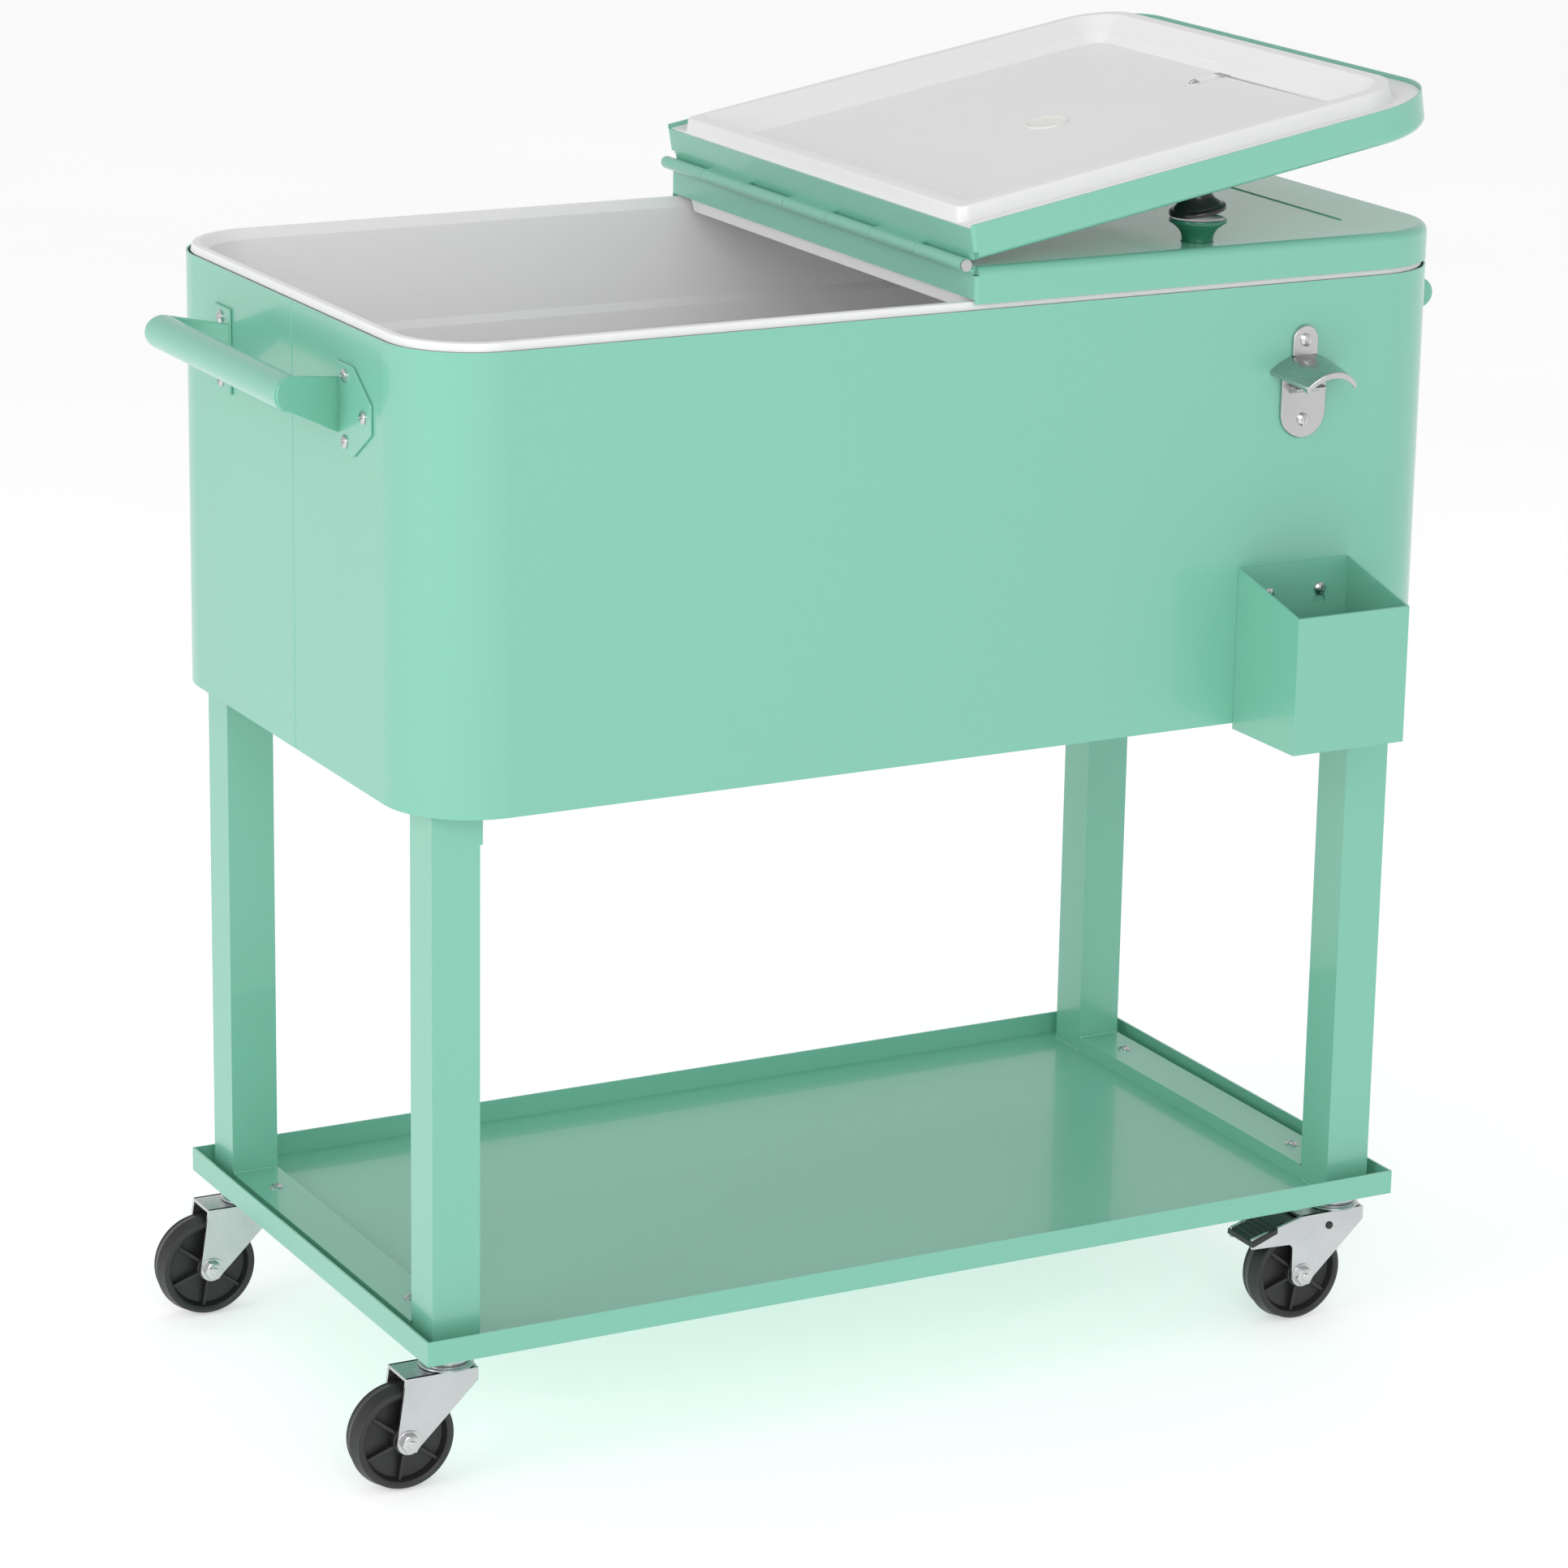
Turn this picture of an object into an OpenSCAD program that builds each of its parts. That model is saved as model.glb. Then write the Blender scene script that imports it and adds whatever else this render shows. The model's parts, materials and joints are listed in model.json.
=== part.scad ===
// Rolling patio cooler chest: insulated steel tub with two folding lids,
// on four square legs with a lower tray and swivel casters.
// Millimetres. +X runs along the length towards the bottle opener,
// -Y is the front, +Z is up. The origin is on the floor, under the
// middle of the whole object's box.

/* [Tub] */
// Outer length of the tub
tub_l = 794; // [780:2:900]
// Outer depth of the tub
tub_w = 450; // [440:2:500]
// Height of the tub above the floor
tub_z = 480; // [440:5:520]
// Height of the painted shell
tub_h = 310; // [290:5:340]
// Radius of the upright corners
tub_r = 62; // [50:1:70]
// Painted sheet thickness
sheet = 1.2; // [1:0.1:1.5]

/* [Liner] */
// Width of the white rim around the mouth
rim_w = 14; // [12:0.5:18]
// Height of the white rim above the shell
rim_h = 6.5; // [5:0.5:8]
// Thickness of the moulded liner
wall = 2.4; // [2:0.2:3]
// Depth of the liner below its rim
liner_depth = 284; // [240:2:286]
// Depth of the step in the liner walls
step_depth = 78; // [60:1:120]
// How far the lower walls step inwards
step_in = 7; // [4:1:12]

/* [Lids] */
// Height of the painted lid
lid_h = 25; // [22:1:30]
// Gap between each lid and the hinge axis
hinge_gap = 6; // [5.5:0.5:8]
// Angle that the open left lid has turned through
fold = 170; // [165:1:172]
// Number of hinge knuckles
knuckles = 7; // [5:2:9]
// Knob diameter
knob_d = 40; // [34:1:44]

/* [Stand] */
// Width of the square leg tube
leg_w = 35; // [30:1:38]
// Distance from the tub's end to the leg
leg_in_x = 20; // [16:1:30]
// Distance from the tub's front to the leg
leg_in_y = 30.5; // [26:0.5:40]
// Outer length of the tray
tray_l = 776; // [768:2:800]
// Outer depth of the tray
tray_w = 422; // [414:2:440]
// Height of the tray's floor above the ground
tray_z = 98; // [95:1:105]
// Height of the tray's lip
tray_h = 17.5; // [15:0.5:25]

/* [Casters] */
// Wheel diameter
wheel_d = 75; // [70:1:78]
// Wheel width
wheel_w = 23; // [20:1:26]
// Distance of the axle behind the swivel
trail = 34; // [30:1:38]

/* [Fittings] */
// Width of the cap catcher
catcher_w = 91; // [80:1:100]
// Depth of the cap catcher
catcher_d = 78; // [60:1:82]
// Height of the cap catcher at its back
catcher_h = 116; // [100:1:125]
// How far each handle stands out
handle_out = 55; // [50:1:65]
// Grip diameter
grip_d = 24; // [22:1:26]
// Length of the grip
grip_l = 218; // [200:2:240]

/* [Hidden] */
$fn = 48;
eps = 0.01;

// Colours
mint = "#8fd3b8";
white = "#f2f2f0";
cream = "#e8e0b8";
steel = "#b9bcc0";
zinc = "#c9ccd0";
black = "#1c1c1e";

// Heights
shell_top = tub_z + tub_h;
rim_top = shell_top + rim_h;
lid_z = shell_top + 4;
lid_top = lid_z + lid_h;
hinge_z = lid_top + 1.5;
rest_gap = 0.4;
tray_floor = tray_z + 1.5;
bottom_gap = 30;

// Plan
half_l = tub_l / 2;
half_w = tub_w / 2;
leg_x = half_l - leg_in_x - leg_w / 2;
leg_y = half_w - leg_in_y - leg_w / 2;
y_mid = catcher_d / 2;
rim_in = 3;
mouth_in = rim_w + 2;
fit = 0.06;
clear = 0.4;

// Knob, plug and screw positions on each lid, from the hinge axis
knob_x = 196;
knob_y = -198;
knob_h = 16.5;
plug_x = 197;
lid_screw_x = 322;
pan_rise = 9;

// ---------- shared shapes ----------

module centred() { translate([0, y_mid, 0]) children(); }

// Rectangle between two corners with its own corner radius at each end.
module plate2d(x0, x1, y0, y1, r0, r1) {
  translate([x0 + r0, y0]) square([x1 - r1 - x0 - r0, y1 - y0]);
  translate([x0, y0 + r0]) square([r0 + eps, y1 - y0 - 2 * r0]);
  translate([x1 - r1 - eps, y0 + r1]) square([r1 + eps, y1 - y0 - 2 * r1]);
  for (y = [y0 + r0, y1 - r0]) translate([x0 + r0, y]) circle(r0, $fn = 96);
  for (y = [y0 + r1, y1 - r1]) translate([x1 - r1, y]) circle(r1, $fn = 96);
}

// The tub's outline, moved inwards.
module tub2d(inset) {
  r = tub_r - inset;
  plate2d(-half_l + inset, half_l - inset, -half_w + inset, half_w - inset, r, r);
}

module tub_slab(inset, z0, z1) {
  translate([0, 0, z0]) linear_extrude(z1 - z0) tub2d(inset);
}

module rod_y(r, y0, y1) {
  translate([0, y1, 0]) rotate([90, 0, 0]) cylinder(r = r, h = y1 - y0);
}

module rod_x(r, x0, x1) {
  translate([x0, 0, 0]) rotate([0, 90, 0]) cylinder(r = r, h = x1 - x0);
}

// Pan-head screw along +Z, its seat at z = 0 and its head above.
module screw(head_r, head_h, shank_r, shank_l) {
  difference() {
    union() {
      translate([0, 0, -shank_l]) cylinder(r = shank_r, h = shank_l + eps);
      rotate_extrude() intersection() {
        translate([0, head_h - head_r * 1.6]) circle(head_r * 1.6);
        square([head_r, head_h]);
      }
    }
    for (a = [0, 90]) rotate([0, 0, a])
      translate([-head_r * 0.6, -0.5, head_h - 1]) cube([head_r * 1.2, 1, 2]);
  }
}

// ---------- tub ----------

seam_y = -13;
lap = 18;

module tub_wall() {
  difference() {
    tub_slab(0, tub_z, shell_top);
    translate([0, 0, -1]) tub_slab(sheet, tub_z, shell_top + 2);
    wall_holes();
  }
}

// Holes for every screw that passes through the painted wall.
module wall_holes() {
  for (s = [-1, 1], p = handle_holes) translate([0, p[0], p[1]])
    rod_x(2.1, s * half_l - 5, s * half_l + 5);
  for (z = opener_holes) translate([opener_x, 0, z]) rod_y(2.1, -half_w - 5, -half_w + 5);
  for (x = catcher_holes) translate([x, 0, catcher_screw_z])
    rod_y(2.1, -half_w - 5, -half_w + 5);
}

module shell_front() color(mint) centred() {
  intersection() {
    tub_wall();
    translate([-half_l - 1, -half_w - 1, tub_z - 1]) cube([tub_l + 2, half_w + 1 + seam_y, tub_h + 2]);
  }
}

module shell_back() color(mint) centred() {
  intersection() {
    tub_wall();
    translate([-half_l - 1, seam_y, tub_z - 1]) cube([tub_l + 2, half_w + 1 - seam_y, tub_h + 2]);
  }
  // Laps behind the front shell, one at each end
  for (x = [-half_l + sheet, half_l - 2 * sheet])
    translate([x, seam_y - lap, tub_z + 4]) cube([sheet, lap * 2, tub_h - 8]);
}

module bottom_plate() color(mint) centred() {
  difference() {
    tub_slab(sheet, tub_z, tub_z + 1.5);
    translate([drain_x, drain_y, tub_z - 1]) cylinder(r = 10.2, h = 4);
    for (x = bracket_bolt_x, y = [-bracket_bolt_y, bracket_bolt_y])
      translate([x, y, tub_z - 1]) cylinder(r = 3.1, h = 4);
  }
}

liner_floor = rim_top - liner_depth;
step_z = rim_top - step_depth;

// The liner's hollow, grown outwards by its wall.
module cavity(grow) {
  low = liner_floor - grow;
  tub_slab(mouth_in - grow, step_z - grow, rim_top + 1);
  tub_slab(mouth_in + step_in - grow, low, step_z);
}

module tub_liner() color(white) centred() difference() {
  union() {
    tub_slab(mouth_in - wall, step_z - wall, step_z);
    tub_slab(mouth_in + step_in - wall, liner_floor - wall, step_z);
  }
  tub_slab(mouth_in + step_in, liner_floor, step_z + 1);
  translate([drain_x, drain_y, liner_floor - wall - 1]) cylinder(r = 10.2, h = wall + 2);
}

// White collar: it stands on the liner's ledge and its rim covers the shell's edge.
module rim_collar() color(white) centred() difference() {
  union() {
    tub_slab(rim_in, shell_top - 8, rim_top);
    tub_slab(mouth_in - wall, step_z + 0.1, rim_top);
  }
  tub_slab(mouth_in, step_z - 1, rim_top + 1);
  // The flange steps in to sit inside the shell and over its edge
  difference() {
    tub_slab(-5, shell_top - 12, shell_top);
    tub_slab(sheet + 4, shell_top - 12, shell_top);
  }
}

module tub_foam() color(cream) centred() difference() {
  tub_slab(2 * sheet + 0.6, tub_z + 1.5, shell_top - 8);
  cavity(wall);
  translate([drain_x, drain_y, tub_z]) cylinder(r = 11, h = bottom_gap + 5);
  for (x = bracket_bolt_x, y = [-bracket_bolt_y, bracket_bolt_y])
    translate([x, y, tub_z]) cylinder(r = 7, h = 10);
  screw_pockets();
}

// Room in the foam behind every screw's shank.
module screw_pockets() {
  for (s = [-1, 1], p = handle_holes) translate([0, p[0], p[1]])
    rod_x(3, s * (half_l - 6) - 6, s * (half_l - 6) + 6);
  for (z = opener_holes) translate([opener_x, 0, z]) rod_y(3, -half_w, -half_w + 12);
  for (x = catcher_holes) translate([x, 0, catcher_screw_z]) rod_y(3, -half_w, -half_w + 12);
}

// ---------- drain ----------

drain_x = half_l - 130;
drain_y = 120;
drain_low = tub_z - 26;

module drain_tube() color(white) centred() translate([drain_x, drain_y, 0]) difference() {
  union() {
    translate([0, 0, drain_low]) cylinder(r = 10, h = liner_floor - drain_low);
    translate([0, 0, liner_floor]) cylinder(r = 16, h = 2);
  }
  translate([0, 0, drain_low - 1]) cylinder(r = 7, h = liner_floor - drain_low + 5);
}

module drain_nut() color(white) centred() translate([drain_x, drain_y, tub_z - 6.2])
  difference() {
    cylinder(r = 18, h = 6, $fn = 6);
    translate([0, 0, -1]) cylinder(r = 10.05, h = 9);
  }

module drain_cap() color(black) centred() translate([drain_x, drain_y, drain_low - 4])
  difference() {
    union() {
      cylinder(r = 14, h = 16);
      for (a = [0:30:330]) rotate([0, 0, a]) translate([13.4, 0, 0]) cylinder(r = 1.6, h = 16);
    }
    translate([0, 0, 3.6]) cylinder(r = 10 + fit, h = 20);
  }

// ---------- lids ----------

// A lid's outline seen from above, from the hinge to the outer end.
module lid2d(end_in, side_in, hinge_in, hinge_r) {
  r = tub_r - max(end_in, side_in);
  plate2d(hinge_gap + hinge_in, half_l - end_in, -half_w + side_in, half_w - side_in, hinge_r, r);
}

module lid_slab(inset, z0, z1) {
  translate([0, 0, z0]) linear_extrude(z1 - z0) lid2d(inset, inset, inset, 3);
}

// Rounded top edge: a slab whose upper rim is a quarter round.
module lid_block(inset, z0, z1, e) {
  x0 = hinge_gap + inset;
  x1 = half_l - inset;
  y1 = half_w - inset;
  r = tub_r - inset;
  lid_slab(inset, z0, z1 - e);
  translate([0, 0, z0]) linear_extrude(z1 - z0)
    plate2d(x0, x1 - e, -y1 + e, y1 - e, 3, r - e);
  for (s = [-1, 1]) translate([0, s * (y1 - e), z1 - e]) rod_x(e, x0 + 3, x1 - r);
  translate([x1 - e, 0, z1 - e]) rod_y(e, -y1 + r, y1 - r);
  for (s = [-1, 1]) translate([x1 - r, s * (y1 - r), z1 - e])
    rotate([0, 0, s > 0 ? 0 : -90]) rotate_extrude(angle = 90)
      intersection() {
        translate([r - e, 0]) circle(e);
        square([r, e]);
      }
}

knuckle_r = 4.6;
knuckle_span = 442;
knuckle_l = knuckle_span / knuckles;

// Knuckles of one lid: even ones on the right lid, odd ones on the left.
module lid_knuckles(first, bore) {
  for (i = [first:2:knuckles - 1])
    translate([0, -knuckle_span / 2 + i * knuckle_l + clear / 2, hinge_z]) difference() {
      union() {
        rod_y(knuckle_r, 0, knuckle_l - clear);
        translate([0, 0, -knuckle_r]) cube([hinge_gap + 0.6, knuckle_l - clear, 1.6]);
      }
      rod_y(bore, -1, knuckle_l + 1);
    }
}

skin = 1.2;
bead_in = 63;
bead_l = 334;
bead_r = 1.5;

module lid_skin(first, bore) {
  difference() {
    union() {
      lid_block(0, lid_z, lid_top, 6);
      // Stiffening bead pressed into the top
      translate([half_l - bead_in, 0, lid_top - bead_r / 2]) rod_y(bead_r, -bead_l / 2, bead_l / 2);
    }
    lid_block(skin, lid_z - 1, lid_top - skin, 5);
    translate([knob_x, knob_y, lid_z]) cylinder(r = 2.1, h = lid_h + 5);
    // The hinge side clears the white rim that it crosses
    translate([hinge_gap - 1, -half_w + 1.5, lid_z - 1]) cube([4, tub_w - 3, ledge_z - lid_z + 1]);
  }
  lid_knuckles(first, bore);
}

ledge_z = rim_top + rest_gap;
pan_low = lid_z - pan_rise;
pan_floor = lid_top - 15;
pan_rim = 13;
end_in = mouth_in + 4;
side_in = mouth_in + 4;
hinge_in = 3;

module pan2d(grow) {
  lid2d(end_in + grow, side_in + grow, hinge_in + grow, 8);
}

// White pan under the lid: ledge, hollow rim and raised floor.
module lid_liner() {
  difference() {
    union() {
      lid_slab(skin + 0.2, ledge_z, ledge_z + wall);
      translate([0, 0, pan_low]) linear_extrude(ledge_z + wall - pan_low) pan2d(0);
      translate([0, 0, pan_low]) linear_extrude(pan_floor + wall - pan_low) pan2d(pan_rim - wall);
    }
    // Hollow of the rim, filled with foam
    translate([0, 0, pan_low + wall]) linear_extrude(lid_h) difference() {
      pan2d(wall);
      pan2d(pan_rim - wall);
    }
    // Recess of the pan
    translate([0, 0, pan_low - 1]) linear_extrude(pan_floor - pan_low + 1) pan2d(pan_rim);
    translate([plug_x, 0, pan_floor - 1]) cylinder(r = 14, h = wall + 2);
    translate([lid_screw_x, 0, pan_floor - 1]) cylinder(r = 2.1, h = wall + 2);
  }
}

module lid_foam() {
  top = lid_top - skin - 0.4;
  difference() {
    union() {
      lid_slab(skin + 0.3, ledge_z + wall + 0.1, lid_top - 6);
      lid_slab(skin + 5, ledge_z + wall + 0.1, top);
      translate([0, 0, pan_low + wall + 0.1]) linear_extrude(top - pan_low - wall - 1)
        difference() {
          pan2d(wall + 0.1);
          pan2d(pan_rim - wall - 0.1);
        }
    }
    translate([0, 0, lid_z]) linear_extrude(pan_floor + wall + 0.1 - lid_z)
      pan2d(pan_rim - wall - 0.1);
    translate([plug_x, 0, lid_z]) cylinder(r = 14.3, h = lid_h);
    translate([lid_screw_x, 0, lid_z]) cylinder(r = 3, h = lid_h);
    translate([knob_x, knob_y, lid_z]) cylinder(r = 7, h = lid_h);
  }
}

module lid_plug() translate([plug_x, 0, pan_floor - 1.2]) {
  cylinder(r = 16, h = 1.2);
  cylinder(r = 14, h = wall + 2.5);
}

module lid_screw() translate([lid_screw_x, 0, pan_floor]) rotate([180, 0, 0])
  screw(4, 2.2, 2, 9);

// Bell-shaped knob: wide face, waisted neck and a flat foot.
module lid_knob() translate([knob_x, knob_y, lid_top]) {
  rotate_extrude($fn = 64) difference() {
    square([knob_d / 2, knob_h]);
    translate([knob_d / 2 + 3, 1]) scale([1, 0.92]) circle(13, $fn = 64);
  }
  translate([0, 0, -6]) cylinder(r = 2, h = 6 + eps);
  translate([0, 0, -6]) cylinder(r = 6, h = 3);
}

module right_lid() centred() children();
module left_lid() centred() translate([0, 0, hinge_z]) rotate([0, fold, 0])
  translate([0, 0, -hinge_z]) mirror([1, 0, 0]) children();

module lid_right_skin() color(mint) right_lid() lid_skin(0, pin_r);
module lid_right_liner() color(white) right_lid() lid_liner();
module lid_right_foam() color(cream) right_lid() lid_foam();
module lid_right_plug() color(white) right_lid() lid_plug();
module lid_right_screw() color(steel) right_lid() lid_screw();
module lid_right_knob() color(black) right_lid() lid_knob();
module lid_left_skin() color(mint) left_lid() lid_skin(1, pin_r + fit);
module lid_left_liner() color(white) left_lid() lid_liner();
module lid_left_foam() color(cream) left_lid() lid_foam();
module lid_left_plug() color(white) left_lid() lid_plug();
module lid_left_screw() color(steel) left_lid() lid_screw();
module lid_left_knob() color(black) left_lid() lid_knob();

pin_r = 2.5;

module hinge_pin() color(steel) centred() translate([0, 0, hinge_z]) {
  rod_y(pin_r, -knuckle_span / 2 - 0.5, knuckle_span / 2 + 0.5);
  for (s = [-1, 1]) translate([0, s * (knuckle_span / 2 + 1.1), 0]) rod_y(4, -0.8, 0.8);
}

// ---------- handles ----------

handle_z = 735;
arm_y = 93;
plate_out = 55;
plate_h = 60;
// Screw places of one plate: [y, z]
handle_side_holes = [[arm_y + 14, 22], [arm_y + 44, 0], [arm_y + 14, -22]];
handle_holes = [for (s = [-1, 1], p = handle_side_holes) [s * p[0], handle_z + p[1]]];
grip_x = handle_out - grip_d / 2;
grip_rise = 14;

grip_r = grip_d / 2;
// The arms splay outwards from the plates to the ends of the grip
splay = atan((grip_l / 2 - arm_y) / grip_x);
arm_l = grip_x / cos(splay);
arm_t = 2.5;

// Mounting plate with two clipped corners, drilled for three screws.
module handle_plate() {
  difference() {
    rotate([90, 0, 90]) linear_extrude(2) polygon([
      [arm_y, -plate_h / 2], [arm_y + 26, -plate_h / 2], [arm_y + plate_out, -10],
      [arm_y + plate_out, 10], [arm_y + 26, plate_h / 2], [arm_y, plate_h / 2]]);
    for (p = handle_side_holes) translate([0, p[0], p[1]]) rod_x(2.1, -1, 4);
  }
}

// Places its children on an arm: x along the arm, y through its sheet.
module on_arm() translate([0, arm_y, 0]) rotate([0, 0, splay]) children();

// Arm that narrows from the wall to a round end that closes the grip.
module handle_arm() on_arm() translate([0, arm_t, 0]) rotate([90, 0, 0]) linear_extrude(arm_t) {
  polygon([[0.9, -19], [0.9, 19], [arm_l, grip_rise + grip_r], [arm_l, grip_rise - grip_r]]);
  translate([arm_l, grip_rise]) circle(grip_r);
}

module handle() translate([half_l + 0.05, 0, handle_z]) {
  for (s = [0, 1]) mirror([0, s, 0]) {
    handle_plate();
    handle_arm();
  }
  difference() {
    translate([grip_x, 0, grip_rise]) difference() {
      rod_y(grip_r, -grip_l / 2 - grip_r, grip_l / 2 + grip_r);
      rod_y(grip_r - 1.6, -grip_l / 2 - grip_r - 1, grip_l / 2 + grip_r + 1);
    }
    for (s = [0, 1]) mirror([0, s, 0]) on_arm() translate([-60, arm_t - 0.5, -60]) cube([180, 60, 120]);
  }
}

module handle_screws() for (p = handle_holes)
  translate([half_l + 2.05, p[0], p[1]]) rotate([0, 90, 0]) screw(4.6, 2.6, 2, 9);

module handle_right() color(mint) centred() handle();
module handle_right_screws() color(zinc) centred() handle_screws();
module handle_left() color(mint) centred() mirror([1, 0, 0]) handle();
module handle_left_screws() color(zinc) centred() mirror([1, 0, 0]) handle_screws();

// ---------- bottle opener ----------

opener_x = 269;
opener_z = 722;
opener_holes = [opener_z + 28, opener_z - 28];

hood_r = 36.25;
hood_top = 18;
hood_out = 42;

// Slice of the arched hood, seen from the front.
module hood_arch(thick) translate([0, hood_top - hood_r]) difference() {
  circle(hood_r, $fn = 96);
  circle(hood_r - thick, $fn = 96);
}

// Stamped opener: tab, rounded lower plate, and a tongue-shaped arched hood
// with a turned-down lip over a tooth that grips the cap.
module bottle_opener() color(steel) centred() translate([opener_x, -half_w, opener_z])
  difference() {
    union() {
      rotate([90, 0, 0]) linear_extrude(3) {
        translate([0, 28]) circle(10);
        translate([-10, 8]) square([20, 20]);
        translate([-18, -23]) square([36, 33]);
        translate([0, -23]) circle(18);
      }
      rotate([6, 0, 0]) intersection() {
        translate([0, 3, 0]) rotate([90, 0, 0]) union() {
          linear_extrude(hood_out + 3) hood_arch(2.5);
          translate([0, 0, hood_out]) linear_extrude(3) hood_arch(6.5);
        }
        linear_extrude(30) polygon([[-27, 0.5], [27, 0.5], [20, -hood_out], [-20, -hood_out]]);
      }
      translate([-13, -13, -6]) cube([26, 13, 3]);
    }
    translate([-40, 0, -60]) cube([80, 10, 120]);
    for (z = [28, -28]) translate([0, 0, z]) rod_y(2.3, -6, 1);
  }

module opener_screws() color(zinc) centred() for (z = opener_holes)
  translate([opener_x, -half_w - 3, z]) rotate([90, 0, 0]) screw(4.6, 2.6, 2, 10);

// ---------- cap catcher ----------

catcher_x = 223;
catcher_z = 476;
catcher_drop = 19;
catcher_holes = [catcher_x + 24, catcher_x + catcher_w - 24];
catcher_screw_z = catcher_z + catcher_h - 21;
catcher_back = -half_w - 0.3;

// Open box, lower at the front, hung on two keyhole slots.
module cap_catcher() color(mint) centred() {
  t = 1.5;
  difference() {
    translate([catcher_x, catcher_back, catcher_z]) rotate([0, -90, 180])
      linear_extrude(catcher_w) polygon([
        [0, 0], [catcher_h, 0], [catcher_h - catcher_drop, catcher_d - 0.3], [0, catcher_d - 0.3]]);
    translate([catcher_x + t, catcher_back - catcher_d + 0.3 + t, catcher_z + t])
      cube([catcher_w - 2 * t, catcher_d - 0.3 - 2 * t, catcher_h]);
    for (x = catcher_holes) translate([x, 0, catcher_screw_z]) {
      rod_y(2.4, catcher_back - 3, catcher_back + 1);
      translate([0, 0, -9]) rod_y(5.4, catcher_back - 3, catcher_back + 1);
      translate([-2.4, catcher_back - 3, -9]) cube([4.8, 4, 9]);
    }
  }
}

module catcher_screws() color(zinc) centred() for (x = catcher_holes)
  translate([x, catcher_back - 2, catcher_screw_z]) rotate([90, 0, 0]) screw(4.6, 2.6, 2, 11);

// ---------- stand ----------

module leg(x, y) color(mint) centred() difference() {
  inner = x > 0 ? x - leg_w / 2 : x + leg_w / 2;
  translate([x - leg_w / 2, y - leg_w / 2, tray_floor]) cube([leg_w, leg_w, tub_z - tray_floor]);
  translate([0, y, tub_z - 14]) rod_x(3.1, inner - 3, inner + 3);
  translate([x - leg_w / 2 + 1.5, y - leg_w / 2 + 1.5, tray_floor - 1])
    cube([leg_w - 3, leg_w - 3, tub_z - tray_floor + 2]);
}

module leg_fl() leg(-leg_x, -leg_y);
module leg_fr() leg(leg_x, -leg_y);
module leg_bl() leg(-leg_x, leg_y);
module leg_br() leg(leg_x, leg_y);

rail_h = 11;

// Flat rail welded between the feet of two legs.
module rail(x) color(mint) centred() difference() {
  span = 2 * leg_y - leg_w;
  translate([x - leg_w / 2, -span / 2, tray_floor]) cube([leg_w, span, rail_h]);
  translate([x - leg_w / 2 + 1.5, -span / 2 - 1, tray_floor + 1.5])
    cube([leg_w - 3, span + 2, rail_h - 3]);
  for (y = rail_screw_y) translate([x, y, tray_floor - 1]) cylinder(r = 2.2, h = rail_h + 2);
}
rail_screw_y = [-120, 120];

module rail_left() rail(-leg_x);
module rail_right() rail(leg_x);

bracket_bolt_x = [-leg_x + 38, leg_x - 38];
bracket_bolt_y = leg_y;

// Angle brackets that join each leg to the tub, with a small turned-down fin.
module leg_brackets() color(mint) centred() for (sx = [-1, 1], sy = [-1, 1])
  translate([sx * leg_x, sy * leg_y, tub_z]) mirror([sx > 0 ? 1 : 0, 0, 0])
    mirror([0, sy > 0 ? 1 : 0, 0]) difference() {
      union() {
        translate([leg_w / 2, -leg_w / 2, -2]) cube([38, leg_w, 2]);
        translate([leg_w / 2, -leg_w / 2, -26]) cube([2, leg_w, 26]);
        translate([leg_w / 2 + 24, -leg_w / 2, 0]) rotate([90, 0, 0])
          linear_extrude(1.5) polygon([[0, 0], [14, 0], [14, -10]]);
      }
      translate([38, 0, -5]) cylinder(r = 3.1, h = 10);
      translate([0, 0, -14]) rod_x(3.1, leg_w / 2 - 1, leg_w / 2 + 5);
    }

// Hex-head bolts: one up into the tub, one sideways into each leg.
module frame_bolts() color(zinc) centred() for (sx = [-1, 1], sy = [-1, 1])
  translate([sx * leg_x, sy * leg_y, tub_z]) mirror([sx > 0 ? 1 : 0, 0, 0]) {
    translate([38, 0, -2]) rotate([180, 0, 0]) hex_bolt();
    translate([leg_w / 2 + 2, 0, -14]) rotate([0, 90, 0]) hex_bolt();
  }

module hex_bolt() {
  cylinder(r = 5.8, h = 4, $fn = 6);
  translate([0, 0, -9]) cylinder(r = 3, h = 9 + eps);
}

lip = 1.5;

// Shallow tray with upturned lips; the legs stand inside them.
module shelf_tray() color(mint) centred() difference() {
  translate([-tray_l / 2, -tray_w / 2, tray_z]) cube([tray_l, tray_w, tray_h]);
  translate([-tray_l / 2 + lip, -tray_w / 2 + lip, tray_floor])
    cube([tray_l - 2 * lip, tray_w - 2 * lip, tray_h]);
  for (sx = [-1, 1], y = rail_screw_y)
    translate([sx * leg_x, y, tray_z - 1]) cylinder(r = 2.2, h = 5);
}

module shelf_screws() color(zinc) centred() for (sx = [-1, 1], y = rail_screw_y)
  translate([sx * leg_x, y, tray_floor + rail_h]) screw(5, 2.4, 2, rail_h + 3);

// ---------- casters ----------

axle_z = wheel_d / 2;
axle_r = 4;
raceway_z = 83;
fork_gap = wheel_w + 3;
fork_t = 2.5;

module at_caster(sx, sy) centred() translate([sx * leg_x, sy * leg_y, 0]) children();

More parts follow.
